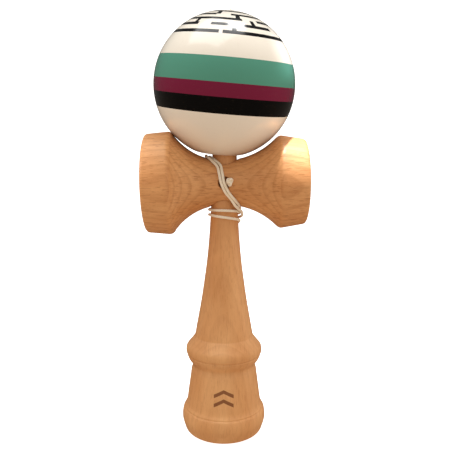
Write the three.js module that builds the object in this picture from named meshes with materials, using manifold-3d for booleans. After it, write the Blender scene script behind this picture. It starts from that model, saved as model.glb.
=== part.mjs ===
// A kendama: a turned wooden handle with a spike and a base cup, a cross-piece with two
// cups pushed onto it, a lacquered ball resting on the spike, and the cord that ties the
// ball to the handle.
//
// Millimetres, +Z up. The toy stands on its base cup. The origin is in the middle of the
// base rim, X runs along the cross-piece, and the front is at -Y.

import * as THREE from "three";
import { mergeVertices } from "three/addons/utils/BufferGeometryUtils.js";
import Module from "manifold-3d";

// ---------------------------------------------------------------- driving dimensions

const GAP = 0.3; // between two pieces that touch

// Handle (ken), turned about Z.
const HANDLE_HEIGHT = 162;
const BASE_CUP_RADIUS = 12.5; // at the base rim
const BASE_CUP_DEPTH = 9;
const BASE_RIM_OUTER = 14.8; // outer edge of the flat rim that the toy stands on

// Cross-piece (sarado), turned about X, at this height on the handle.
const CROSS_Z = 110.9;
const CROSS_TILT = 0.9; // degrees that its push fit lets the big cup hang low
const WAIST_RADIUS = 9.7;
// The cups: where the waist's hollow curve meets them and where their rims end, along X.
const BIG_CUP = { corner: 22.8, end: 33.7, outer: 22.3, rimOuter: 21.4, opening: 19.1, depth: 8.5 };
const SMALL_CUP = { corner: 23.5, end: 34.8, outer: 20.2, rimOuter: 18.4, opening: 16.2, depth: 7 };
const LIP = 1.4; // rounding of the cup rims
const CROSS_HOLE = 2.6; // radius of the cord's hole through the cross-piece
const TENON_HOLE = 1.6; // radius of the cord's hole through the handle

// Ball (tama), turned about its own axis.
const BALL_RADIUS = 30;
const BALL_CENTRE = new THREE.Vector3(-0.2, -0.6, 151.8);
const BALL_AXIS = new THREE.Vector3(0.08, -0.182, 0.98).normalize(); // from hole to cord
const BALL_HOLE = 10.8; // radius
const HOLE_FLOOR = 17; // along the axis from the centre
const POCKET_RADIUS = 3.6; // for the bead
const POCKET_END = 26.4;
const CORD_HOLE = 1.3; // radius, out through the top of the ball
const CORD_MOUTH = 1.6; // rounding of that hole's edge

// Cord.
const CORD_RADIUS = 0.6;
const CORD_CLEAR = 0.45; // from the cord's side to the wood, with room for the facets
const NECK_RADIUS = 5.95; // of the handle under the cross-piece
const BEAD = { radius: 3, half: 2.8, hole: 1.15, centre: 23.4 }; // centre on the ball's axis
const BEAD_KNOT = { radius: 1.5, centre: 18.8 };
// In front of the cross-piece's hole: half its size along X, Y and Z, and its middle.
const END_KNOT = { half: [1.6, 1.5, 1.9], x: 2.2, y: -11.3 };

// Facets.
const SIDES = { handle: 28, cross: 32, ball: 32, small: 12, cord: 8 };

// ---------------------------------------------------------------- colours

const BEECH = { color: 0xc59463, roughness: 0.5, metalness: 0 };
const LACQUER = { color: 0xefe9dd, roughness: 0.12, metalness: 0 };
const CORD = { color: 0xeae4d6, roughness: 0.9, metalness: 0 };
const BEAD_WOOD = { color: 0xd8b98a, roughness: 0.5, metalness: 0 };

// ---------------------------------------------------------------- helpers

const wasm = await Module();
wasm.setup();

const rad = THREE.MathUtils.degToRad;
const v2 = (x, y) => new THREE.Vector2(x, y);
const v3 = (x, y, z) => new THREE.Vector3(x, y, z);

// Points of a smooth curve through the given [radius, height] pairs.
function smooth(pairs, perSpan) {
  const curve = new THREE.SplineCurve(pairs.map(([r, z]) => v2(r, z)));
  return curve.getPoints(perSpan * (pairs.length - 1));
}

// Points of a shallow dish, from its middle at (0, floor) out to its edge at (radius, rim).
function dish(radius, rim, floor, steps) {
  const depth = Math.abs(floor - rim);
  const sphere = (radius * radius + depth * depth) / (2 * depth);
  const widest = Math.asin(radius / sphere);
  const inward = Math.sign(floor - rim);
  const points = [];
  for (let i = 0; i <= steps; i++) {
    const angle = (widest * i) / steps;
    const drop = sphere * (1 - Math.cos(angle));
    points.push(v2(sphere * Math.sin(angle), floor - inward * drop));
  }
  return points;
}

// Keeps positions only, joins shared vertices and drops the slivers on the turning axis.
function cleaned(geometry) {
  geometry.deleteAttribute("normal");
  geometry.deleteAttribute("uv");
  const merged = mergeVertices(geometry, 1e-4);
  const from = merged.index.array;
  const kept = [];
  for (let i = 0; i < from.length; i += 3) {
    const [a, b, c] = [from[i], from[i + 1], from[i + 2]];
    if (a !== b && b !== c && c !== a) kept.push(a, b, c);
  }
  merged.setIndex(kept);
  return merged;
}

// A solid turned about Z. The outline runs from its lowest inner point out and up.
function turned(outline, sides) {
  return cleaned(new THREE.LatheGeometry(outline, sides).rotateX(Math.PI / 2));
}

// A drill of the given radius along a line between two points.
function drill(from, to, startRadius, endRadius, sides) {
  const along = new THREE.Vector3().subVectors(to, from);
  const bit = new THREE.CylinderGeometry(endRadius, startRadius, along.length(), sides);
  bit.applyQuaternion(
    new THREE.Quaternion().setFromUnitVectors(v3(0, 1, 0), along.clone().normalize()),
  );
  const middle = new THREE.Vector3().addVectors(from, to).multiplyScalar(0.5);
  return cleaned(bit.translate(middle.x, middle.y, middle.z));
}

function toManifold(geometry) {
  const mesh = new wasm.Mesh({
    numProp: 3,
    vertProperties: new Float32Array(geometry.attributes.position.array),
    triVerts: new Uint32Array(geometry.index.array),
  });
  return new wasm.Manifold(mesh);
}

function fromManifold(solid) {
  const mesh = solid.getMesh();
  const geometry = new THREE.BufferGeometry();
  geometry.setAttribute("position", new THREE.BufferAttribute(mesh.vertProperties, 3));
  geometry.setIndex(new THREE.BufferAttribute(mesh.triVerts, 1));
  return geometry;
}

function cut(body, tools) {
  let solid = toManifold(body);
  for (const tool of tools) solid = solid.subtract(toManifold(tool));
  return fromManifold(solid);
}

const kendama = new THREE.Group();

function addPiece(name, geometry, finish) {
  geometry.computeVertexNormals();
  const mesh = new THREE.Mesh(geometry, new THREE.MeshStandardMaterial(finish));
  mesh.name = name;
  kendama.add(mesh);
  return mesh;
}

// ---------------------------------------------------------------- handle

// [radius, height] from the rim up the outside to the tip of the spike.
const BASE_FLARE = [
  [BASE_RIM_OUTER, 0], [16.75, 1], [17.7, 3.1], [18.5, 6.4], [18.1, 10.1], [16.75, 12.6],
  [16.25, 15],
];
const GROOVE_AND_RING = [
  [14.5, 28], [14.1, 30.5], [15.7, 33.1], [16.75, 36], [16.6, 38.5], [15, 40.6],
  [12.95, 43.2],
];
const GRIP_AND_NECK = [
  [12.95, 43.2], [11.8, 49.6], [10.15, 58.8], [8.8, 67.8], [7.6, 76.8], [6.6, 87.5],
  [NECK_RADIUS, 98], [5.75, 104],
];
const SPIKE = [
  [5.4, 121], [4.9, 130], [4, 142], [2.9, 153], [2.1, 159], [1.2, 161.5],
];

function handle() {
  const outline = [
    ...dish(BASE_CUP_RADIUS, 0, BASE_CUP_DEPTH, 5),
    ...smooth(BASE_FLARE, 2),
    ...smooth(GROOVE_AND_RING, 2),
    ...smooth(GRIP_AND_NECK, 1).slice(1),
    ...smooth(SPIKE, 1),
    v2(0, HANDLE_HEIGHT),
  ];
  const across = NECK_RADIUS + 2;
  const cordHole = drill(v3(0, -across, CROSS_Z), v3(0, across, CROSS_Z), TENON_HOLE,
    TENON_HOLE, SIDES.small);
  return cut(turned(outline, SIDES.handle), [cordHole]);
}

// ---------------------------------------------------------------- cross-piece

// The waist is a hollow arc that climbs to the inner corner of the cup on each side.
function waistRadius(x) {
  const cup = x < 0 ? BIG_CUP : SMALL_CUP;
  const rise = cup.outer - WAIST_RADIUS;
  const arc = (cup.corner ** 2 + rise ** 2) / (2 * rise);
  return WAIST_RADIUS + arc - Math.sqrt(arc ** 2 - x ** 2);
}

// The outside of one cup, from its inner corner to the start of its rim: [radius, distance].
function cupWall(cup) {
  return [
    v2(cup.outer - 1.2, cup.corner - 0.6),
    v2(cup.outer - 0.15, cup.corner + 0.4),
    v2(cup.outer, cup.corner + 1.4),
    v2(cup.rimOuter, cup.end - LIP),
    v2(cup.rimOuter - LIP * 0.4, cup.end - LIP * 0.3),
    v2((cup.rimOuter + cup.opening) / 2, cup.end),
  ];
}

function crossPiece() {
  const waist = [];
  for (let x = -20; x <= 20; x += 5) waist.push(v2(waistRadius(x), x));
  const flip = (points) => points.map((p) => v2(p.x, -p.y)).reverse();
  const bowl = (cup) => dish(cup.opening, cup.end - 0.5, cup.end - cup.depth, 6).reverse();
  const outline = [
    ...flip([...cupWall(BIG_CUP), ...bowl(BIG_CUP)]),
    ...waist,
    ...cupWall(SMALL_CUP),
    ...bowl(SMALL_CUP),
  ];
  const body = turned(outline, SIDES.cross);
  body.rotateY(Math.PI / 2 - rad(CROSS_TILT)).translate(0, 0, CROSS_Z);
  const reach = WAIST_RADIUS + 4;
  const socket = drill(v3(0, 0, CROSS_Z - reach), v3(0, 0, CROSS_Z + reach),
    NECK_RADIUS + GAP, 5.4 + GAP, SIDES.handle);
  const cordHole = drill(v3(0, -reach, CROSS_Z), v3(0, reach, CROSS_Z), CROSS_HOLE,
    CROSS_HOLE, SIDES.small);
  return cut(body, [socket, cordHole]);
}

// ---------------------------------------------------------------- ball and bead

// Stands a solid turned about Z on the ball's axis.
const onBallAxis = new THREE.Matrix4()
  .makeTranslation(BALL_CENTRE)
  .multiply(new THREE.Matrix4().makeRotationFromQuaternion(
    new THREE.Quaternion().setFromUnitVectors(v3(0, 0, 1), BALL_AXIS),
  ));

function ball() {
  const mouthAngle = Math.asin(BALL_HOLE / BALL_RADIUS);
  const topAngle = Math.asin((CORD_HOLE + CORD_MOUTH) / BALL_RADIUS);
  const mouthTop = BALL_RADIUS * Math.cos(topAngle);
  const outline = [v2(CORD_HOLE, POCKET_END), v2(POCKET_RADIUS, POCKET_END),
    v2(POCKET_RADIUS, HOLE_FLOOR), v2(BALL_HOLE - 1.5, HOLE_FLOOR),
    v2(BALL_HOLE, HOLE_FLOOR - 1.5)];
  const rows = 16;
  for (let i = 0; i <= rows; i++) {
    const angle = mouthAngle + ((Math.PI - topAngle - mouthAngle) * i) / rows;
    outline.push(v2(BALL_RADIUS * Math.sin(angle), -BALL_RADIUS * Math.cos(angle)));
  }
  for (const turn of [40, 90]) {
    const angle = rad(turn);
    outline.push(v2(CORD_HOLE + CORD_MOUTH * (1 - Math.sin(angle)),
      mouthTop - CORD_MOUTH * (1 - Math.cos(angle))));
  }
  outline.push(outline[0].clone());
  return turned(outline, SIDES.ball).applyMatrix4(onBallAxis);
}

function bead() {
  const outline = [];
  const rows = 8;
  const open = Math.asin(BEAD.hole / BEAD.radius);
  for (let i = 0; i <= rows; i++) {
    const angle = open + ((Math.PI - 2 * open) * i) / rows;
    outline.push(v2(BEAD.radius * Math.sin(angle), -BEAD.half * Math.cos(angle)));
  }
  outline.push(outline[0].clone());
  return turned(outline, SIDES.small).translate(0, 0, BEAD.centre).applyMatrix4(onBallAxis);
}

// A pulled-tight knot, as the plain egg that it fills.
function knot(halfX, halfY, halfZ) {
  return cleaned(new THREE.SphereGeometry(1, 10, 7).rotateX(Math.PI / 2)
    .scale(halfX, halfY, halfZ));
}

// ---------------------------------------------------------------- cord

// A point where the cord lies on the waist of the cross-piece: x, and the angle up from the
// back (0 back, 90 top, 180 front, 270 underneath).
function onWaist(x, angle) {
  const radius = waistRadius(x) + CORD_RADIUS + CORD_CLEAR;
  return v3(x, radius * Math.cos(rad(angle)), CROSS_Z + radius * Math.sin(rad(angle)));
}

// A point where the cord lies on the neck of the handle: the angle from the right side
// towards the back, the height, and how far off the neck it is.
function onNeck(angle, z, lift = 0) {
  const radius = NECK_RADIUS + CORD_RADIUS + CORD_CLEAR + lift;
  return v3(radius * Math.cos(rad(angle)), radius * Math.sin(rad(angle)), z);
}

// A point where the cord lies on the back of the ball, at an angle down from its top hole.
const ballBack = v3(0, 1, 0).addScaledVector(BALL_AXIS, -BALL_AXIS.y).normalize();
function onBall(angle, lift = 0) {
  const radius = BALL_RADIUS + CORD_RADIUS + CORD_CLEAR + lift;
  return BALL_CENTRE.clone()
    .addScaledVector(BALL_AXIS, radius * Math.cos(rad(angle)))
    .addScaledVector(ballBack, radius * Math.sin(rad(angle)));
}
const inBall = (s) => BALL_CENTRE.clone().addScaledVector(BALL_AXIS, s);

// A point of the quarter circle by which the cord turns into its hole: 90 on the ball, 0
// straight down the hole.
const CORD_TURN = 3.3; // radius
const overBall = BALL_RADIUS + CORD_RADIUS + CORD_CLEAR;
const CORD_DIVES = Math.sqrt(overBall ** 2 - CORD_TURN ** 2) - CORD_TURN; // from the centre
function intoHole(angle) {
  return inBall(CORD_DIVES + CORD_TURN * Math.sin(rad(angle)))
    .addScaledVector(ballBack, CORD_TURN * (1 - Math.cos(rad(angle))));
}

// Out of the hole at the back, over the waist beside the spike, down across the front,
// round the neck, up the back and over once more, round the neck again, and away behind.
const LASHING = [
  v3(0, WAIST_RADIUS + 0.1, CROSS_Z),
  v3(-0.1, 11.4, CROSS_Z + 0.4),
  v3(-0.5, 12.6, CROSS_Z + 1.6),
  v3(-1.2, 12.9, CROSS_Z + 3.3),
  v3(-2.3, 12.2, CROSS_Z + 5.7),
  onWaist(-4.4, 54),
  onWaist(-6, 76),
  onWaist(-6.3, 96),
  onWaist(-4.3, 116),
  onWaist(-1.7, 136),
  onWaist(-0.9, 158),
  onWaist(-0.1, 180),
  onWaist(1.8, 202),
  onWaist(4.4, 222),
  onNeck(-41, 101.4, 1.5),
  onNeck(-10, 99.8, 0.2),
  onNeck(40, 99.3),
  onNeck(90, 99.3),
  onNeck(140, 99.3),
  onNeck(190, 99.2),
  onNeck(235, 99.2),
  onNeck(280, 99.1),
  onNeck(325, 98.7),
  onNeck(370, 97.6),
  onNeck(415, 97),
  onNeck(450, 97.5, 0.2),
  onNeck(476, 99.8, 1.9),
  onWaist(-5.4, -36),
  onWaist(-6.6, -10),
  onWaist(-7.5, 20),
  onWaist(-7.9, 50),
  onWaist(-8.1, 80),
  onWaist(-7.5, 104),
  onWaist(-5.6, 122),
  onWaist(-3.4, 140),
  onWaist(-2.5, 160),
  onWaist(-1.7, 180),
  onWaist(0.2, 202),
  onWaist(2.7, 221),
  onNeck(-54, 100.9, 1.7),
  onNeck(-26, 98.6, 1.5),
  onNeck(4, 96.4, 0.9),
  onNeck(45, 95.4),
  onNeck(100, 95.7),
  onNeck(160, 96.8),
  onNeck(205, 97),
  onNeck(250, 96.5),
  onNeck(295, 95.8),
  onNeck(340, 94.9),
  onNeck(380, 93.6),
];

// A slack bight behind the handle, from the neck down and up again to the ball.
const BIGHT = [
  v3(4.6, 6.8, 92.3),
  v3(2, 10, 90.2),
  v3(0.4, 12.8, 86.2),
  v3(-0.6, 15, 81.2),
  v3(-1.2, 18.4, 77.4),
  v3(-1.6, 22.4, 76.8),
  v3(-1.8, 26.2, 79),
  v3(-1.9, 29, 83.6),
  v3(-1.9, 30.6, 90),
  v3(-1.8, 31.2, 99),
  v3(-1.5, 31.3, 112),
  v3(-1, 31.3, 126),
  v3(-0.5, 31.3, 140),
];

// Up the back of the ball and in at the hole in its top.
const OVER_BALL = [
  onBall(100),
  onBall(84),
  onBall(68),
  onBall(52),
  onBall(36),
  onBall(22),
  onBall(15),
  onBall(10),
  intoHole(90),
  intoHole(60),
  intoHole(30),
  intoHole(0),
];

const cordRoute = new THREE.CatmullRomCurve3([...LASHING, ...BIGHT, ...OVER_BALL], false,
  "centripetal");
cordRoute.arcLengthDivisions = 2000;
const cordLength = cordRoute.getLength();

// How far along the cord a point of its route lies, in millimetres.
function distanceTo(point) {
  let best = 0;
  let closest = Infinity;
  for (let s = 0; s <= cordLength; s += 0.25) {
    const away = cordRoute.getPointAt(s / cordLength).distanceTo(point);
    if (away < closest) {
      closest = away;
      best = s;
    }
  }
  return best;
}

// The stretch of the cord between two distances along it.
class Stretch extends THREE.Curve {
  constructor(start, end) {
    super();
    this.start = start;
    this.end = end;
  }

  getPoint(t, target = new THREE.Vector3()) {
    const s = this.start + (this.end - this.start) * t;
    return target.copy(cordRoute.getPointAt(s / cordLength));
  }
}

function tube(path, steps) {
  const section = [];
  for (let i = 0; i < SIDES.cord; i++) {
    const angle = (2 * Math.PI * i) / SIDES.cord;
    section.push(v2(CORD_RADIUS * Math.cos(angle), CORD_RADIUS * Math.sin(angle)));
  }
  return new THREE.ExtrudeGeometry(new THREE.Shape(section), {
    steps,
    extrudePath: path,
    curveSegments: 1,
    bevelEnabled: false,
  });
}

function stretchOfCord(start, end, step) {
  return tube(new Stretch(start, end), Math.round((end - start) / step));
}

// ---------------------------------------------------------------- assembly

addPiece("ken", handle(), BEECH);
addPiece("sarado", crossPiece(), BEECH);
addPiece("tama", ball(), LACQUER);

const lashingEnd = distanceTo(LASHING[LASHING.length - 1]);
const ballStart = distanceTo(OVER_BALL[0]);
const coreFront = v3(0, -8.4, CROSS_Z);
const coreBack = v3(0, WAIST_RADIUS - GAP + 0.1, CROSS_Z);
addPiece("string_core", tube(new THREE.LineCurve3(coreFront, coreBack), 1), CORD);
addPiece("sarado_knot", knot(...END_KNOT.half), CORD)
  .position.set(END_KNOT.x, END_KNOT.y, CROSS_Z);
addPiece("string_lashing", stretchOfCord(0, lashingEnd, 3), CORD);
addPiece("string_slack", stretchOfCord(lashingEnd + GAP, ballStart - GAP, 7), CORD);
addPiece("string_over_tama", stretchOfCord(ballStart, cordLength, 3), CORD);

const beadBottom = BEAD.centre - BEAD.half;
addPiece("string_tail",
  tube(new THREE.LineCurve3(inBall(CORD_DIVES - GAP), inBall(beadBottom)), 1), CORD);
addPiece("string_bead", bead(), BEAD_WOOD);
addPiece("bead_knot", knot(BEAD_KNOT.radius, BEAD_KNOT.radius, BEAD_KNOT.radius), CORD)
  .position.copy(inBall(BEAD_KNOT.centre));

export default kendama;
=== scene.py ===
"""A kendama standing on its base cup: the look of each turned piece, the ball and the cord."""
import math

import bmesh
import bpy
import numpy as np
from mathutils import Matrix, Vector


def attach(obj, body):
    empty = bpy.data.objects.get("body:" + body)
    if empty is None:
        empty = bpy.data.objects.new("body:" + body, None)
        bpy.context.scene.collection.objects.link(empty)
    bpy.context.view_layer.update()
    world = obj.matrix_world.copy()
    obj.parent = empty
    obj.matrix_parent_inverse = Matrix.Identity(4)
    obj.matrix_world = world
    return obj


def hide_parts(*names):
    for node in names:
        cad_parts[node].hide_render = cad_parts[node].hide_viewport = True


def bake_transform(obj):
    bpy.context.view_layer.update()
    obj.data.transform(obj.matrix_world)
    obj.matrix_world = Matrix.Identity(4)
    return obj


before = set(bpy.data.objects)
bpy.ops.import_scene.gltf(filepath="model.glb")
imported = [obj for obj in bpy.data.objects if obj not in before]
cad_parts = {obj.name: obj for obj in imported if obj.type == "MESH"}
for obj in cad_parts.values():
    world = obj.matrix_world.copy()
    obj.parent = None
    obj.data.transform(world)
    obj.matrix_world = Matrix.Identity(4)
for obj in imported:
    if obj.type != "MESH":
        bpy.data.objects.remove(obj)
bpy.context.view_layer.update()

MM = 0.001

# ------------------------------------------------------------------ sizes, in millimetres

HANDLE_HEIGHT = 162.0
BASE_CUP_RADIUS = 12.5
BASE_CUP_DEPTH = 9.0
BASE_RIM_OUTER = 14.8

CROSS_Z = 110.9
CROSS_TILT = 0.9  # degrees
WAIST_RADIUS = 9.7
BIG_CUP = {"corner": 22.8, "end": 33.7, "outer": 22.3, "rim_outer": 21.4, "opening": 19.1,
           "depth": 8.5}
SMALL_CUP = {"corner": 23.5, "end": 34.8, "outer": 20.2, "rim_outer": 18.4, "opening": 16.2,
             "depth": 7.0}
CROSS_HOLE = 2.6
SOCKET_RADIUS = (6.25, 5.7)  # at the neck, at the spike

BALL_RADIUS = 30.0
BALL_CENTRE = Vector((-0.2, -0.6, 151.8))
BALL_AXIS = Vector((0.08, -0.182, 0.98)).normalized()
BALL_HOLE = 10.8
HOLE_FLOOR = 17.0
POCKET_RADIUS = 3.6
POCKET_END = 26.4
CORD_HOLE = 1.3
CORD_MOUTH = 1.6

CORD_RADIUS = 0.6
CORD_CLEAR = 0.1  # the turned wood is smooth here, so the cord lies closer than in the frame
NECK_RADIUS = 5.95
BEAD = {"radius": 3.0, "half": 2.8, "hole": 1.15, "centre": 23.4}
BEAD_KNOT_CENTRE = 18.8
END_KNOT_CENTRE = Vector((2.2, -11.3, CROSS_Z + 0.5))  # in front of the cross-piece's hole

# ------------------------------------------------------------------ camera

CAMERA_DISTANCE = 214.3
CAMERA_HEIGHT = 113.0
CAMERA_SIDE = 0.3
CAMERA_PITCH = 5.5
CAMERA_ROLL = 0.2
CAMERA_LENS = 39.2


def add_camera():
    data = bpy.data.cameras.new("camera")
    data.lens = CAMERA_LENS
    data.sensor_width = 36
    data.clip_start = 0.01
    camera = bpy.data.objects.new("camera", data)
    camera.location = (CAMERA_SIDE * MM, -CAMERA_DISTANCE * MM, CAMERA_HEIGHT * MM)
    aim = (Matrix.Rotation(math.radians(90 - CAMERA_PITCH), 3, "X")
           @ Matrix.Rotation(math.radians(CAMERA_ROLL), 3, "Z"))
    camera.rotation_euler = aim.to_euler()
    bpy.context.scene.collection.objects.link(camera)
    bpy.context.scene.camera = camera


add_camera()

# ------------------------------------------------------------------ mesh helpers


def new_piece(name, mesh):
    piece = bpy.data.objects.new(name, mesh)
    bpy.context.scene.collection.objects.link(piece)
    return piece


def mesh_from(name, points, faces):
    mesh = bpy.data.meshes.new(name)
    mesh.from_pydata([tuple(p) for p in points], [], faces)
    mesh.update()
    mesh.shade_smooth()
    return mesh


def smooth(pairs, per_span):
    """Points of a smooth curve through [radius, height] pairs."""
    out = []
    last = len(pairs) - 1
    for i in range(last):
        p0, p1, p2, p3 = (np.array(pairs[min(max(k, 0), last)]) for k in range(i - 1, i + 3))
        v0 = (p2 - p0) / 2
        v1 = (p3 - p1) / 2
        for t in np.arange(per_span) / per_span:
            out.append((2 * p1 - 2 * p2 + v0 + v1) * t**3 + (-3 * p1 + 3 * p2 - 2 * v0 - v1) * t**2
                       + v0 * t + p1)
    out.append(np.array(pairs[-1], float))
    return [tuple(p) for p in out]


def dish(radius, rim, floor, steps):
    """A shallow dish, from its middle at (0, floor) out to its edge at (radius, rim)."""
    depth = abs(floor - rim)
    sphere = (radius**2 + depth**2) / (2 * depth)
    widest = math.asin(radius / sphere)
    inward = math.copysign(1, floor - rim)
    angles = [widest * i / steps for i in range(steps + 1)]
    return [(sphere * math.sin(a), floor - inward * sphere * (1 - math.cos(a))) for a in angles]


def rounded(corner_from, corner, corner_to, radius, steps=6):
    """The corner of an outline, replaced by a smooth bend that starts a radius away."""
    a, b, c = (np.array(p, float) for p in (corner_from, corner, corner_to))
    start = b + (a - b) / np.linalg.norm(a - b) * radius
    end = b + (c - b) / np.linalg.norm(c - b) * radius
    ts = [i / steps for i in range(steps + 1)]
    return [tuple((1 - t) ** 2 * start + 2 * t * (1 - t) * b + t**2 * end) for t in ts]


def split_long(outline, longest):
    """Adds points so that no step of the outline is longer than this."""
    out = [outline[0]]
    for a, b in zip(outline, outline[1:]):
        parts = max(1, math.ceil(math.dist(a, b) / longest))
        for i in range(1, parts + 1):
            out.append(tuple(np.array(a) + (np.array(b) - np.array(a)) * i / parts))
    return out


def turned(name, outline, sides, place=Matrix.Identity(4), ring=False):
    """A solid turned about Z from an outline in millimetres; a ring's outline closes on itself."""
    points = []
    faces = []
    rows = []
    for radius, height in outline:
        if radius < 1e-6:
            rows.append([len(points)] * sides)
            points.append(place @ Vector((0, 0, height)) * MM)
            continue
        rows.append(list(range(len(points), len(points) + sides)))
        for k in range(sides):
            angle = 2 * math.pi * k / sides
            spot = Vector((radius * math.cos(angle), radius * math.sin(angle), height))
            points.append(place @ spot * MM)
    pairs = list(zip(rows, rows[1:]))
    if ring:
        pairs.append((rows[-1], rows[0]))
    for low, high in pairs:
        for k in range(sides):
            n = (k + 1) % sides
            face = [low[k], low[n], high[n], high[k]]
            faces.append([v for i, v in enumerate(face) if v not in face[:i]])
    return mesh_from(name, points, faces)


def centripetal(points, per_span):
    """A smooth curve through points in space, with the same spacing rule as the CAD route."""
    points = [np.array(p, float) for p in points]
    ends = [2 * points[0] - points[1], *points, 2 * points[-1] - points[-2]]
    out = []
    for i in range(len(points) - 1):
        p0, p1, p2, p3 = ends[i : i + 4]
        d0, d1, d2 = (max(math.dist(a, b), 1e-6) ** 0.5 for a, b in ((p0, p1), (p1, p2), (p2, p3)))
        m1 = ((p1 - p0) / d0 - (p2 - p0) / (d0 + d1) + (p2 - p1) / d1) * d1
        m2 = ((p2 - p1) / d1 - (p3 - p1) / (d1 + d2) + (p3 - p2) / d2) * d1
        for t in np.arange(per_span) / per_span:
            out.append(p1 + m1 * t + (-3 * p1 + 3 * p2 - 2 * m1 - m2) * t**2
                       + (2 * p1 - 2 * p2 + m1 + m2) * t**3)
    out.append(points[-1])
    return np.array(out)


def evenly(line, step):
    """The same line with points the given distance apart."""
    lengths = np.concatenate([[0], np.cumsum(np.linalg.norm(np.diff(line, axis=0), axis=1))])
    count = max(2, round(lengths[-1] / step))
    at = np.linspace(0, lengths[-1], count + 1)
    return np.stack([np.interp(at, lengths, line[:, k]) for k in range(3)], axis=1)


BRAID_STRANDS = 6
BRAID_PITCH = 6.4  # millimetres for one turn of a strand
BRAID_RELIEF = 0.1  # millimetres, from the crown of a strand to the groove beside it
CORD_SIDES = 30


def braid_relief(along, around):
    """How far the braid's surface dips below its crowns, 0 to 1."""
    turn = BRAID_STRANDS * around / (2 * math.pi)
    climb = BRAID_STRANDS * along / BRAID_PITCH
    u = (turn + climb) % 1
    v = (turn - climb) % 1
    return 1 - (np.sin(math.pi * u) * np.sin(math.pi * v)) ** 0.5


def braided_tube(name, line, radius):
    """A braided cord along a line of evenly spaced points, in millimetres, with rounded ends."""
    tangents = np.gradient(line, axis=0)
    tangents /= np.linalg.norm(tangents, axis=1)[:, None]
    side = np.cross(tangents[0], (0.3, 0.5, 0.8))
    around = np.arange(CORD_SIDES) * 2 * math.pi / CORD_SIDES
    points = []
    along = 0.0
    for i, (centre, forward) in enumerate(zip(line, tangents)):
        side = side - forward * side.dot(forward)
        side /= np.linalg.norm(side)
        other = np.cross(forward, side)
        relief = BRAID_RELIEF * braid_relief(along, around)
        from_end = min(i, len(line) - 1 - i) * math.dist(line[0], line[1])
        blunt = math.sqrt(1 - max(0, 1 - from_end / radius) ** 2) if from_end < radius else 1
        reach = (radius - relief) * max(blunt, 0.15)
        sideways = np.outer(reach * np.cos(around), side)
        outward = np.outer(reach * np.sin(around), other)
        points.extend((centre + sideways + outward) * MM)
        along += math.dist(line[i], line[min(i + 1, len(line) - 1)])
    faces = []
    for i in range(len(line) - 1):
        for k in range(CORD_SIDES):
            n = (k + 1) % CORD_SIDES
            a = i * CORD_SIDES
            faces.append([a + k, a + n, a + CORD_SIDES + n, a + CORD_SIDES + k])
    faces.append(list(range(CORD_SIDES))[::-1])
    faces.append(list(range((len(line) - 1) * CORD_SIDES, len(line) * CORD_SIDES)))
    return mesh_from(name, points, faces)


# ------------------------------------------------------------------ the cord


def waist_radius(x):
    """The cross-piece's waist: a hollow arc that climbs to the cup on each side."""
    cup = BIG_CUP if x < 0 else SMALL_CUP
    rise = cup["outer"] - WAIST_RADIUS
    arc = (cup["corner"] ** 2 + rise**2) / (2 * rise)
    return WAIST_RADIUS + arc - math.sqrt(arc**2 - x**2)


def on_waist(x, angle):
    """Where the cord lies on the waist: 0 is at the back, 90 on top, 180 in front."""
    radius = waist_radius(x) + CORD_RADIUS + CORD_CLEAR
    a = math.radians(angle)
    return (x, radius * math.cos(a), CROSS_Z + radius * math.sin(a))


def on_neck(angle, z, lift=0.0):
    """Where the cord lies on the neck: the angle goes from the right towards the back."""
    radius = NECK_RADIUS + CORD_RADIUS + CORD_CLEAR + lift
    a = math.radians(angle)
    return (radius * math.cos(a), radius * math.sin(a), z)


BALL_BACK = (Vector((0, 1, 0)) - BALL_AXIS * BALL_AXIS.y).normalized()


OVER_THE_BALL = BALL_RADIUS + CORD_RADIUS + CORD_CLEAR  # from the ball's centre to the cord's


def on_ball(angle):
    """Where the cord lies on the back of the ball, at an angle down from its top hole."""
    a = math.radians(angle)
    up = BALL_AXIS * OVER_THE_BALL * math.cos(a)
    back = BALL_BACK * OVER_THE_BALL * math.sin(a)
    return tuple(BALL_CENTRE + up + back)


def in_ball(s):
    return tuple(BALL_CENTRE + BALL_AXIS * s)


CORD_TURN = 3.3  # radius of the bend by which the cord enters the ball
CORD_DIVES = math.sqrt(OVER_THE_BALL**2 - CORD_TURN**2) - CORD_TURN  # from the ball's centre


def into_hole(angle):
    """The quarter circle by which the cord turns into its hole: 90 on the ball, 0 down the hole."""
    a = math.radians(angle)
    down = Vector(in_ball(CORD_DIVES + CORD_TURN * math.sin(a)))
    return tuple(down + BALL_BACK * CORD_TURN * (1 - math.cos(a)))


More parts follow.
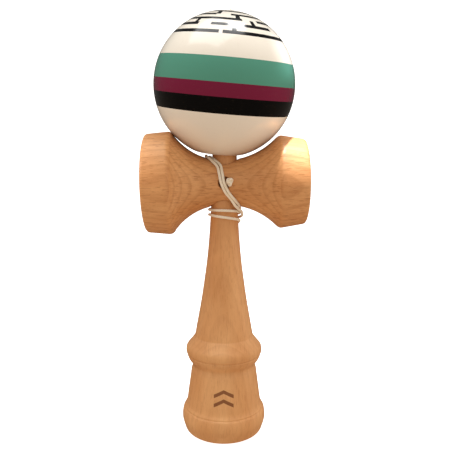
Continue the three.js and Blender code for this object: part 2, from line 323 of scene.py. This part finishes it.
CORE = [
    (1.9, -11, CROSS_Z + 0.4),
    (1, -9.4, CROSS_Z),
    (0.3, -7.6, CROSS_Z),
    (0, -5, CROSS_Z),
    (0, 0, CROSS_Z),
    (0, 5, CROSS_Z),
]
LASHING = [
    (0, WAIST_RADIUS + 0.1, CROSS_Z),
    (-0.1, 11.4, CROSS_Z + 0.4),
    (-0.5, 12.6, CROSS_Z + 1.6),
    (-1.2, 12.9, CROSS_Z + 3.3),
    (-2.3, 12.2, CROSS_Z + 5.7),
    on_waist(-4.4, 54),
    on_waist(-6, 76),
    on_waist(-6.3, 96),
    on_waist(-4.3, 116),
    on_waist(-1.7, 136),
    on_waist(-0.9, 158),
    on_waist(-0.1, 180),
    on_waist(1.8, 202),
    on_waist(4.4, 222),
    on_neck(-41, 101.4, 1.5),
    on_neck(-10, 99.8, 0.2),
    on_neck(40, 99.3),
    on_neck(90, 99.3),
    on_neck(140, 99.3),
    on_neck(190, 99.2),
    on_neck(235, 99.2),
    on_neck(280, 99.1),
    on_neck(325, 98.7),
    on_neck(370, 97.6),
    on_neck(415, 97),
    on_neck(450, 97.5, 0.2),
    on_neck(476, 99.8, 1.9),
    on_waist(-5.4, -36),
    on_waist(-6.6, -10),
    on_waist(-7.5, 20),
    on_waist(-7.9, 50),
    on_waist(-8.1, 80),
    on_waist(-7.5, 104),
    on_waist(-5.4, 122),
    on_waist(-3.05, 140),
    on_waist(-2.2, 160),
    on_waist(-1.4, 180),
    on_waist(0.35, 202),
    on_waist(2.8, 221),
    on_neck(-54, 100.9, 1.7),
    on_neck(-26, 98.6, 1.5),
    on_neck(4, 96.4, 0.9),
    on_neck(45, 95.4),
    on_neck(100, 95.7),
    on_neck(160, 96.8),
    on_neck(205, 97),
    on_neck(250, 96.5),
    on_neck(295, 95.8),
    on_neck(340, 94.9),
    on_neck(380, 93.6),
]
BIGHT = [
    (4.6, 6.8, 92.3),
    (2, 10, 90.2),
    (0.4, 12.8, 86.2),
    (-0.6, 15, 81.2),
    (-1.2, 18.4, 77.4),
    (-1.6, 22.4, 76.8),
    (-1.8, 26.2, 79),
    (-1.9, 29, 83.6),
    (-1.9, 30.6, 90),
    (-1.8, 31.2, 99),
    (-1.5, 31.3, 112),
    (-1, 31.3, 126),
    (-0.5, 31.3, 140),
]
OVER_BALL = [
    on_ball(100),
    on_ball(84),
    on_ball(68),
    on_ball(52),
    on_ball(36),
    on_ball(22),
    on_ball(15),
    on_ball(10),
    into_hole(90),
    into_hole(60),
    into_hole(30),
    into_hole(0),
]
TO_THE_BEAD = [in_ball(24), in_ball(21), in_ball(BEAD_KNOT_CENTRE)]
RING_STEP = 0.16


def add_cord():
    route = centripetal([*CORE, *LASHING, *BIGHT, *OVER_BALL, *TO_THE_BEAD], 24)
    line = evenly(route, RING_STEP)
    cord = new_piece("cord", braided_tube("cord", line, CORD_RADIUS))
    return cord, line


cord, cord_line = add_cord()


# ------------------------------------------------------------------ knots and bead

KNOT_CORD = 0.58  # radius of the cord where a knot squeezes it


def knot_line(size):
    """A pulled-tight overhand knot: a three-lobed turn, flattened by its own tension."""
    t = np.linspace(0, 2 * math.pi, 240, endpoint=False)
    x = np.sin(t) + 2 * np.sin(2 * t)
    y = np.cos(t) - 2 * np.cos(2 * t)
    z = -np.sin(3 * t)
    return np.stack([x * size[0] / 3, y * size[1] / 3, z * size[2]], axis=1)


def knot(name, centre, size, turn):
    """The knot as one skin: the tube of the turn, joined where it presses on itself."""
    line = knot_line(size)
    tube = braided_tube(name, np.vstack([line, line[:1]]), KNOT_CORD)
    tube.transform(Matrix.Translation(centre * MM) @ turn.to_4x4())
    piece = new_piece(name, tube)
    join = piece.modifiers.new("join", "REMESH")
    join.mode = "VOXEL"
    join.voxel_size = 0.09 * MM
    join.use_smooth_shade = True
    apply_modifiers(piece)
    return piece


def apply_modifiers(piece):
    """Makes the modifiers' result the piece's own mesh."""
    graph = bpy.context.evaluated_depsgraph_get()
    mesh = bpy.data.meshes.new_from_object(piece.evaluated_get(graph))
    mesh.name = piece.name
    piece.modifiers.clear()
    piece.data = mesh


BALL_TURN = Vector((0, 0, 1)).rotation_difference(BALL_AXIS).to_matrix()
BALL_PLACE = Matrix.Translation(BALL_CENTRE) @ BALL_TURN.to_4x4()

front_knot = knot("front_knot", END_KNOT_CENTRE, (1.05, 1.5, 0.7),
                  Matrix.Rotation(math.radians(90), 3, "X"))
inner_knot = knot("inner_knot", Vector(in_ball(BEAD_KNOT_CENTRE)), (0.9, 0.9, 0.7), BALL_TURN)


def add_bead():
    steps = 40
    opening = math.asin(BEAD["hole"] / BEAD["radius"])
    angles = [opening + (math.pi - 2 * opening) * i / steps for i in range(steps + 1)]
    outline = [(BEAD["radius"] * math.sin(a), -BEAD["half"] * math.cos(a)) for a in angles]
    outline = [(r, z + BEAD["centre"]) for r, z in outline]
    return new_piece("bead", turned("bead", outline, 48, BALL_PLACE, ring=True))


bead = add_bead()

# ------------------------------------------------------------------ handle

BASE_FLARE = [
    (BASE_RIM_OUTER, 0), (16.75, 1), (17.7, 3.1), (18.5, 6.4), (18.1, 10.1), (16.75, 12.6),
    (16.25, 15),
]
GROOVE_AND_RING = [
    (14.5, 28), (14.1, 30.5), (15.7, 33.1), (16.75, 36), (16.6, 38.5), (15, 40.6),
    (12.95, 43.2),
]
GRIP_AND_NECK = [
    (12.95, 43.2), (11.8, 49.6), (10.15, 58.8), (8.8, 67.8), (7.6, 76.8), (6.6, 87.5),
    (NECK_RADIUS, 98), (5.75, 104),
]
SPIKE = [
    (5.4, 121), (4.9, 130), (4, 142), (2.9, 153), (2.1, 159), (1.2, 161.5), (0, HANDLE_HEIGHT),
]


# Fine lines that the turner's tool left, over the base and under the ring.
CREASES = (10.9, 35.1)  # heights
CREASE_DEPTH = 0.26
CREASE_HALF_WIDTH = 0.34


def crease_depth(height):
    """How deep the turned lines cut at this height."""
    return sum(CREASE_DEPTH * math.exp(-(((height - middle) / CREASE_HALF_WIDTH) ** 2))
               for middle in CREASES)


def add_handle():
    outline = [
        *dish(BASE_CUP_RADIUS, 0, BASE_CUP_DEPTH, 40),
        *smooth(BASE_FLARE, 10),
        *smooth(GROOVE_AND_RING, 10),
        *smooth(GRIP_AND_NECK, 8)[1:],
        *smooth(SPIKE, 8),
    ]
    outline[-1] = (0, HANDLE_HEIGHT)
    outline = [(r - crease_depth(z), z) for r, z in split_long(outline, 0.25)]
    return new_piece("handle", turned("handle", outline, 128))


handle = add_handle()

# ------------------------------------------------------------------ cross-piece


def cup_outline(cup):
    """One cup's outside, rim and dish, from its inner corner to the middle of its floor."""
    end = cup["end"]
    corner = (cup["outer"], cup["corner"])
    wall_top = (cup["rim_outer"], end - 1.4)
    lip = (cup["rim_outer"] - 0.1, end)
    inner_lip = (cup["opening"] + 0.2, end)
    bowl = dish(cup["opening"], end - 0.5, end - cup["depth"], 30)[::-1]
    return [
        *rounded((corner[0] - 3, corner[1] - 2.5), corner, wall_top, 1.4),
        *rounded(corner, lip, inner_lip, 1.1),
        *rounded(lip, inner_lip, bowl[3], 0.6),
        *bowl[2:],
    ]


def add_cross_piece():
    waist = [(waist_radius(x), x) for x in np.arange(-21.6, 22.6, 0.9)]
    big = [(r, -x) for r, x in cup_outline(BIG_CUP)][::-1]
    outline = split_long([*big, *waist, *cup_outline(SMALL_CUP)], 0.9)
    turn = Matrix.Rotation(math.pi / 2 - math.radians(CROSS_TILT), 4, "Y")
    along_x = Matrix.Translation((0, 0, CROSS_Z)) @ turn
    piece = new_piece("cross_piece", turned("cross_piece", outline, 128, along_x))
    reach = 14
    socket = [(0, -reach), (SOCKET_RADIUS[0], -reach), (SOCKET_RADIUS[1], reach), (0, reach)]
    bore = [(0, -reach), (CROSS_HOLE, -reach), (CROSS_HOLE, reach), (0, reach)]
    up = Matrix.Translation((0, 0, CROSS_Z))
    across = up @ Matrix.Rotation(math.pi / 2, 4, "X")
    for name, shape, place in (("socket_drill", socket, up), ("cord_drill", bore, across)):
        drill = new_piece(name, turned(name, shape, 96, place))
        hole = piece.modifiers.new(name, "BOOLEAN")
        hole.object = drill
        hole.solver = "MANIFOLD"
    skin = piece.modifiers.new("skin", "REMESH")
    skin.mode = "VOXEL"
    skin.voxel_size = 0.34 * MM
    skin.use_smooth_shade = True
    soften = piece.modifiers.new("soften", "SMOOTH")
    soften.factor = 0.5
    soften.iterations = 4
    apply_modifiers(piece)
    for name in ("socket_drill", "cord_drill"):
        bpy.data.objects.remove(bpy.data.objects[name])
    return piece


cross_piece = add_cross_piece()

# ------------------------------------------------------------------ ball


def add_ball():
    mouth = math.asin(BALL_HOLE / BALL_RADIUS)
    top = math.asin((CORD_HOLE + CORD_MOUTH) / BALL_RADIUS)
    top_z = BALL_RADIUS * math.cos(top)
    quarter = [math.radians(a) for a in range(15, 91, 15)]
    cord_mouth = [(CORD_HOLE + CORD_MOUTH * (1 - math.sin(a)),
                   top_z - CORD_MOUTH * (1 - math.cos(a))) for a in quarter]
    rows = 120
    angles = [mouth + (math.pi - top - mouth) * i / rows for i in range(rows + 1)]
    shell = [(BALL_RADIUS * math.sin(a), -BALL_RADIUS * math.cos(a)) for a in angles]
    outline = [
        (CORD_HOLE, POCKET_END),
        (POCKET_RADIUS, POCKET_END),
        *rounded((POCKET_RADIUS, POCKET_END), (POCKET_RADIUS, HOLE_FLOOR), (8, HOLE_FLOOR), 0.4),
        *rounded((8, HOLE_FLOOR), (BALL_HOLE, HOLE_FLOOR), (BALL_HOLE, 0), 1.5),
        *rounded((BALL_HOLE, 0), shell[0], shell[6], 0.5),
        *shell[2:],
        *cord_mouth,
    ]
    outline = split_long([*outline, outline[0]], 1.6)[:-1]
    return new_piece("ball", turned("ball", outline, 192, BALL_PLACE, ring=True))


ball = add_ball()

# ------------------------------------------------------------------ materials


class Nodes:
    """Short calls for building one material's node tree."""

    def __init__(self, name):
        self.material = bpy.data.materials.new(name)
        self.material.use_nodes = True
        self.tree = self.material.node_tree
        self.shader = self.tree.nodes["Principled BSDF"]

    def add(self, kind, **settings):
        node = self.tree.nodes.new(kind)
        for key, value in settings.items():
            setattr(node, key, value)
        return node

    def put(self, value, socket):
        """Links a socket into a socket, or writes a plain value there."""
        if isinstance(value, bpy.types.NodeSocket):
            self.tree.links.new(value, socket)
        else:
            socket.default_value = value

    def maths(self, operation, a, b=0.0, c=0.0):
        node = self.add("ShaderNodeMath", operation=operation)
        for value, socket in zip((a, b, c), node.inputs):
            self.put(value, socket)
        return node.outputs[0]

    def vector(self, operation, a, b=(0, 0, 0)):
        node = self.add("ShaderNodeVectorMath", operation=operation)
        self.put(a, node.inputs[0])
        self.put(b, node.inputs[1])
        return node.outputs["Value" if operation in ("DOT_PRODUCT", "LENGTH") else "Vector"]

    def position(self):
        return self.add("ShaderNodeTexCoord").outputs["Object"]

    def scaled(self, position, scale):
        return self.vector("MULTIPLY", position, scale)

    def noise(self, position, scale=1.0, detail=2.0, roughness=0.5):
        node = self.add("ShaderNodeTexNoise")
        self.put(position, node.inputs["Vector"])
        node.inputs["Scale"].default_value = scale
        node.inputs["Detail"].default_value = detail
        node.inputs["Roughness"].default_value = roughness
        return node.outputs["Fac"]

    def ramp(self, value, stops, interpolation="LINEAR"):
        """Stops are (place, number or colour)."""
        node = self.add("ShaderNodeValToRGB")
        node.color_ramp.interpolation = interpolation
        for i, (place, colour) in enumerate(stops):
            spot = node.color_ramp.elements[i] if i < 2 else node.color_ramp.elements.new(place)
            spot.position = place
            spot.color = (colour,) * 3 + (1,) if isinstance(colour, (int, float)) else (*colour, 1)
        self.put(value, node.inputs["Fac"])
        return node.outputs["Color"]

    def mix(self, share, a, b, blend_type="MIX"):
        node = self.add("ShaderNodeMix", data_type="RGBA", blend_type=blend_type)
        self.put(share, node.inputs["Factor"])
        for value, socket in ((a, node.inputs[6]), (b, node.inputs[7])):
            self.put((*value, 1) if isinstance(value, tuple) else value, socket)
        return node.outputs[2]

    def bump(self, height, distance, strength=1.0, under=None):
        node = self.add("ShaderNodeBump")
        node.inputs["Distance"].default_value = distance
        node.inputs["Strength"].default_value = strength
        self.put(height, node.inputs["Height"])
        if under is not None:
            self.put(under, node.inputs["Normal"])
        return node.outputs["Normal"]

    def surface(self, colour, roughness, normal=None):
        self.put(colour, self.shader.inputs["Base Color"])
        self.put(roughness, self.shader.inputs["Roughness"])
        if normal is not None:
            self.put(normal, self.shader.inputs["Normal"])


def srgb(red, green, blue):
    """A colour given as 0 to 255 on a screen, as the linear numbers a shader takes."""
    def linear(c):
        c /= 255
        return c / 12.92 if c <= 0.04045 else ((c + 0.055) / 1.055) ** 2.4
    return (linear(red), linear(green), linear(blue))


RING_SPACING = 2.6 * MM
PITH = 61 * MM  # how far in front of the piece the middle of the tree was
# A plain burnt mark on the base, in millimetres.
MARK = {"half_width": 4.2, "heights": (19.2, 23.0), "line": 1.5}


def chevrons(n, place):
    """Two plain chevrons, one over the other, on the front of the base: 0 or 1."""
    split = n.add("ShaderNodeSeparateXYZ")
    n.put(place, split.inputs[0])
    away = n.maths("ABSOLUTE", split.outputs["X"])
    climb = n.maths("ADD", split.outputs["Z"], n.maths("MULTIPLY", away, 0.5))
    wide = n.maths("LESS_THAN", away, MARK["half_width"] * MM)
    front = n.maths("LESS_THAN", split.outputs["Y"], 0.0)
    lines = 0.0
    for height in MARK["heights"]:
        off = n.maths("ABSOLUTE", n.maths("SUBTRACT", climb, height * MM))
        lines = n.maths("MAXIMUM", lines, n.maths("LESS_THAN", off, MARK["line"] / 2 * MM))
    return n.maths("MULTIPLY", n.maths("MULTIPLY", wide, front), lines)


def beech(name, grain, seed, figure=1.0, marked=False):
    """Turned beech. grain is 'x' or 'z', the way that it runs; the growth rings lie one behind
    the other along Y, and the rays run along Y through them. figure is how strong they show."""
    n = Nodes(name)
    place = n.position()

    def scale(along, across, back):
        return (along, back, across) if grain == "x" else (across, back, along)

    shifted = n.vector("ADD", place, (seed * 0.37, seed * 0.61, seed * 0.23))
    wander = n.noise(n.scaled(shifted, scale(14, 40, 40)), detail=3)
    split = n.add("ShaderNodeSeparateXYZ")
    n.put(place, split.inputs[0])
    side = split.outputs["Z" if grain == "x" else "X"]
    off_middle = (6 - CROSS_Z) * MM if grain == "x" else 3 * MM
    side = n.maths("ADD", side, off_middle)
    deep = n.maths("ADD", split.outputs["Y"], PITH)
    reach = n.maths("SQRT", n.maths("ADD", n.maths("MULTIPLY", side, side),
                                    n.maths("MULTIPLY", deep, deep)))
    reach = n.maths("ADD", reach, n.maths("MULTIPLY", wander, 2.6 * MM))
    ring = n.maths("FRACT", n.maths("DIVIDE", reach, RING_SPACING))
    late = n.ramp(ring, [(0, 0.0), (0.55, 0.1), (0.9, 1.0), (0.985, 0.55), (1, 0.0)])
    cloud = n.noise(n.scaled(shifted, scale(25, 90, 90)), detail=3)
    base = n.mix(n.ramp(cloud, [(0.3, 0.0), (0.7, 1.0)]), srgb(212, 148, 90), srgb(228, 170, 112))
    base = n.mix(n.maths("MULTIPLY", late, 0.3 * figure), base, srgb(172, 106, 54))
    streaks = n.noise(n.scaled(shifted, scale(40, 1100, 700)), detail=4, roughness=0.6)
    streak = n.ramp(streaks, [(0.42, 0.0), (0.72, 1.0)])
    base = n.mix(n.maths("MULTIPLY", streak, 0.36 * figure), base, srgb(184, 116, 62))
    rays = n.noise(n.scaled(shifted, scale(300, 2600, 160)), detail=1.5)
    fleck = n.ramp(rays, [(0.58, 0.0), (0.66, 1.0)])
    base = n.mix(n.maths("MULTIPLY", fleck, 0.42 * figure), base, srgb(158, 90, 40))
    pores = n.noise(n.scaled(shifted, scale(900, 6000, 6000)), detail=2)
    pit = n.ramp(pores, [(0.3, 1.0), (0.42, 0.0)])
    base = n.mix(n.maths("MULTIPLY", pit, 0.22 * figure), base, srgb(140, 82, 38))
    if marked:
        base = n.mix(n.maths("MULTIPLY", chevrons(n, place), 0.8), base, srgb(110, 52, 16))
    rough = n.ramp(streaks, [(0.3, 0.4), (0.75, 0.56)])
    height = n.maths("ADD", n.maths("MULTIPLY", streaks, 0.6), n.maths("MULTIPLY", pores, 0.4))
    n.surface(base, rough, n.bump(height, 0.05 * MM, 0.22))
    n.shader.inputs["Specular IOR Level"].default_value = 0.35
    n.shader.inputs["Coat Weight"].default_value = 0.08
    n.shader.inputs["Coat Roughness"].default_value = 0.3
    return n.material


CREAM = srgb(242, 234, 219)
GREEN = srgb(86, 152, 130)
MAROON = srgb(122, 28, 60)
BLACK = srgb(4, 4, 5)
# Where each band starts, going up the ball's axis from its hole, in millimetres.
BANDS = [(-30, CREAM), (-9.95, BLACK), (-3.75, MAROON), (1.6, GREEN), (10.75, CREAM)]
# Broken rings round the top: angle from the top, first gap, gaps in the round, gap width.
RINGS = [(49, 97, 3, 3.5), (41, 118, 4, 16), (33.7, 62, 3, 22), (26.5, 100, 2, 24),
         (18.5, 20, 2, 30)]
RING_WIDTH = 3.3
LACQUER_ROUGHNESS = 0.18
BARE_ROUGHNESS = 0.55  # inside the ball's holes
# Short bars that join two rings: from and to angle from the top, place round the ball.
BARS = [(33.7, 41, 60), (33.7, 41, 131), (41, 49, 84), (26.5, 33.7, 78), (18.5, 26.5, 110)]


def lacquer():
    """Glossy bands and a broken-ring pattern, painted on the ball by its own axis."""
    n = Nodes("lacquer")
    local = n.vector("SUBTRACT", n.position(), tuple(BALL_CENTRE * MM))
    right = BALL_TURN @ Vector((1, 0, 0))
    back = BALL_TURN @ Vector((0, 1, 0))
    up = n.vector("DOT_PRODUCT", local, tuple(BALL_AXIS))
    out = n.vector("LENGTH", local)
    x = n.vector("DOT_PRODUCT", local, tuple(right))
    y = n.vector("DOT_PRODUCT", local, tuple(back))
    colour = BANDS[0][1]
    for start, paint in BANDS[1:]:
        colour = n.mix(n.maths("GREATER_THAN", up, start * MM), colour, paint)
    down = n.maths("DEGREES", n.maths("ARCCOSINE", n.maths("DIVIDE", up, out)))
    turn = n.maths("DEGREES", n.maths("ARCTAN2", n.maths("MULTIPLY", y, -1), x))
    ink = 0.0
    for angle, first, count, width in RINGS:
        near = n.maths("LESS_THAN", n.maths("ABSOLUTE", n.maths("SUBTRACT", down, angle)),
                       RING_WIDTH / 2)
        period = 360 / count
        phase = n.maths("MODULO", n.maths("ADD", turn, 720 - first + period / 2), period)
        kept = n.maths("GREATER_THAN", n.maths("ABSOLUTE", n.maths("SUBTRACT", phase, period / 2)),
                       width / 2)
        ink = n.maths("MAXIMUM", ink, n.maths("MULTIPLY", near, kept))
    for low, high, spot in BARS:
        middle = (low + high) / 2
        near = n.maths("LESS_THAN", n.maths("ABSOLUTE", n.maths("SUBTRACT", down, middle)),
                       (high - low) / 2)
        wide = RING_WIDTH / 2 / math.sin(math.radians(middle))
        kept = n.maths("LESS_THAN", n.maths("ABSOLUTE", n.maths("SUBTRACT", turn, spot)), wide)
        ink = n.maths("MAXIMUM", ink, n.maths("MULTIPLY", near, kept))
    on_shell = n.maths("GREATER_THAN", out, (BALL_RADIUS - 0.4) * MM)
    colour = n.mix(ink, colour, BLACK)
    speck = n.noise(n.position(), 900, detail=2)
    colour = n.mix(n.maths("MULTIPLY", n.ramp(speck, [(0.6, 0.0), (0.8, 1.0)]), 0.05), colour,
                   srgb(150, 120, 90))
    bare = n.noise(n.scaled(n.position(), (700, 700, 90)), detail=3)
    inside = n.mix(bare, srgb(196, 140, 90), srgb(222, 172, 122))
    colour = n.mix(on_shell, inside, colour)
    waves = n.noise(n.position(), 130, detail=2)
    rough = n.maths("MULTIPLY_ADD", on_shell, LACQUER_ROUGHNESS - BARE_ROUGHNESS, BARE_ROUGHNESS)
    n.surface(colour, rough, n.bump(waves, 0.05 * MM, 0.25))
    n.shader.inputs["Specular IOR Level"].default_value = 0.4
    n.shader.inputs["Coat Weight"].default_value = 0.5
    n.shader.inputs["Coat Roughness"].default_value = 0.09
    return n.material


def fibre():
    """Off-white braided cord: a fine fibre fuzz on top of the modelled braid."""
    n = Nodes("fibre")
    place = n.position()
    fuzz = n.noise(place, 9000, detail=3)
    soil = n.noise(place, 260, detail=3)
    colour = n.mix(fuzz, srgb(236, 218, 188), srgb(255, 247, 228))
    colour = n.mix(n.maths("MULTIPLY", n.ramp(soil, [(0.45, 0.0), (0.75, 1.0)]), 0.2), colour,
                   srgb(214, 190, 150))
    n.surface(colour, 0.85, n.bump(fuzz, 0.04 * MM, 0.5))
    n.shader.inputs["Sheen Weight"].default_value = 0.25
    return n.material


def paint(piece, material):
    piece.data.materials.clear()
    piece.data.materials.append(material)


paint(handle, beech("handle_beech", "z", 1, figure=0.42, marked=True))
paint(cross_piece, beech("cross_beech", "x", 2))
paint(bead, beech("bead_beech", "z", 3))
paint(ball, lacquer())
cord_material = fibre()
for piece in (cord, front_knot, inner_knot):
    paint(piece, cord_material)

# ------------------------------------------------------------------ bodies and nodes

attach(handle, "ken")
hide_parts("ken")

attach(cross_piece, "ken")
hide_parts("sarado")

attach(front_knot, "ken")
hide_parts("sarado_knot")

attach(ball, "tama")
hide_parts("tama")

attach(bead, "string_end")
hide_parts("string_bead")

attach(inner_knot, "string_end")
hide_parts("bead_knot")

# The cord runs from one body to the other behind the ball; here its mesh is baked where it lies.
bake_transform(cord)
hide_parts("string_core", "string_lashing", "string_slack", "string_over_tama",
            "string_tail")

# ------------------------------------------------------------------ stage and light


def add_stage():
    """A pale floor that curves up into a backdrop behind the toy."""
    radius = 0.5
    depth = 1.2
    bend = [(depth + radius * math.sin(a), radius - radius * math.cos(a))
            for a in np.linspace(0, math.pi / 2, 24)]
    profile = [(-3, 0), (depth, 0), *bend[1:], (depth + radius, 3)]
    points = [(x, y, z - 0.0002) for x in (-4, 4) for y, z in profile]
    count = len(profile)
    faces = [[i, count + i, count + i + 1, i + 1] for i in range(count - 1)]
    floor = new_piece("floor", mesh_from("floor", points, faces))
    n = Nodes("floor_white")
    n.surface((0.8, 0.8, 0.8, 1), 0.9)
    n.shader.inputs["Emission Color"].default_value = (1, 1, 1, 1)
    n.shader.inputs["Emission Strength"].default_value = 0.95
    paint(floor, n.material)
    floor.visible_diffuse = False
    floor.visible_glossy = False


def add_area(name, location, size, power, reflected=True):
    data = bpy.data.lights.new(name, "AREA")
    data.shape = "RECTANGLE"
    data.size, data.size_y = size
    data.energy = power
    light = bpy.data.objects.new(name, data)
    light.location = location
    aim = Vector((0, 0, 0.1)) - Vector(location)
    light.rotation_euler = aim.to_track_quat("-Z", "Y").to_euler()
    light.visible_glossy = reflected
    bpy.context.scene.collection.objects.link(light)


def add_spot(name, location, target, degrees, power, colour=(1, 1, 1)):
    data = bpy.data.lights.new(name, "SPOT")
    data.spot_size = math.radians(degrees)
    data.spot_blend = 0.7
    data.shadow_soft_size = 0.006
    data.color = colour
    data.energy = power
    light = bpy.data.objects.new(name, data)
    light.location = location
    light.rotation_euler = (Vector(target) - Vector(location)).to_track_quat("-Z", "Y").to_euler()
    bpy.context.scene.collection.objects.link(light)


# Colours of the light from straight down to straight up, and from the front to the back.
WORLD_HEIGHT = [(0, (0.88, 0.68, 0.52)), (0.45, (0.88, 0.72, 0.58)), (0.55, (0.9, 0.84, 0.78)),
                (0.8, (1.0, 1.0, 1.0))]
WORLD_DEPTH = [(0.1, (0.8, 0.8, 0.8)), (0.55, (0.9, 0.9, 0.9)), (0.8, (1.0, 1.0, 1.0))]
REFLECTED = 0.1  # how much of that light shows in reflections


def add_world():
    """White behind the toy. Its light is bright above and behind, dim in front, warm below."""
    world = bpy.data.worlds.new("studio")
    world.use_nodes = True
    tree = world.node_tree
    background = tree.nodes["Background"]
    link = tree.links.new
    way = tree.nodes.new("ShaderNodeSeparateXYZ")
    link(tree.nodes.new("ShaderNodeTexCoord").outputs["Generated"], way.inputs[0])
    ray = tree.nodes.new("ShaderNodeLightPath")

    def ramp(value, stops):
        spread = tree.nodes.new("ShaderNodeMapRange")
        spread.inputs["From Min"].default_value = -1
        spread.inputs["From Max"].default_value = 1
        link(value, spread.inputs["Value"])
        node = tree.nodes.new("ShaderNodeValToRGB")
        for i, (place, colour) in enumerate(stops):
            spot = node.color_ramp.elements[i] if i < 2 else node.color_ramp.elements.new(place)
            spot.position = place
            spot.color = (*colour, 1)
        link(spread.outputs[0], node.inputs["Fac"])
        return node.outputs["Color"]

    def towards(light, kind, colour, share):
        """The light, mixed with a colour where this kind of ray meets it."""
        amount = tree.nodes.new("ShaderNodeMath")
        amount.operation = "MULTIPLY"
        link(ray.outputs[kind], amount.inputs[0])
        amount.inputs[1].default_value = share
        seen = tree.nodes.new("ShaderNodeMix")
        seen.data_type = "RGBA"
        link(amount.outputs[0], seen.inputs["Factor"])
        link(light, seen.inputs[6])
        seen.inputs[7].default_value = (*colour, 1)
        return seen.outputs[2]

    height = ramp(way.outputs["Z"], WORLD_HEIGHT)
    depth = ramp(way.outputs["Y"], WORLD_DEPTH)
    product = tree.nodes.new("ShaderNodeMix")
    product.data_type = "RGBA"
    product.blend_type = "MULTIPLY"
    product.inputs["Factor"].default_value = 1
    link(height, product.inputs[6])
    link(depth, product.inputs[7])
    light = product.outputs[2]
    light = towards(light, "Is Glossy Ray", (0, 0, 0), 1 - REFLECTED)
    light = towards(light, "Is Camera Ray", (1, 1, 1), 1)
    link(light, background.inputs["Color"])
    bpy.context.scene.world = world


add_stage()
add_world()
add_area("key", (0.12, 0.02, 0.76), (0.16, 0.16), 1.5)
add_area("top_soft", (-0.1, -0.1, 0.7), (0.5, 0.5), 1.9)
add_area("right_soft", (0.5, 0.02, 0.12), (0.3, 0.5), 0.6, reflected=False)
add_area("left_soft", (-0.5, 0.05, 0.14), (0.2, 0.3), 0.15, reflected=False)
add_spot("right_cup_spot", (0.03, -0.06, 0.5), (0.034, -0.012, 0.127), 4.8, 19,
         colour=(0.92, 0.9, 1.0))
add_spot("left_cup_spot", (-0.3, -0.15, 0.3), (-0.034, -0.012, 0.114), 5, 2.5)
bpy.context.scene.view_settings.view_transform = "Standard"
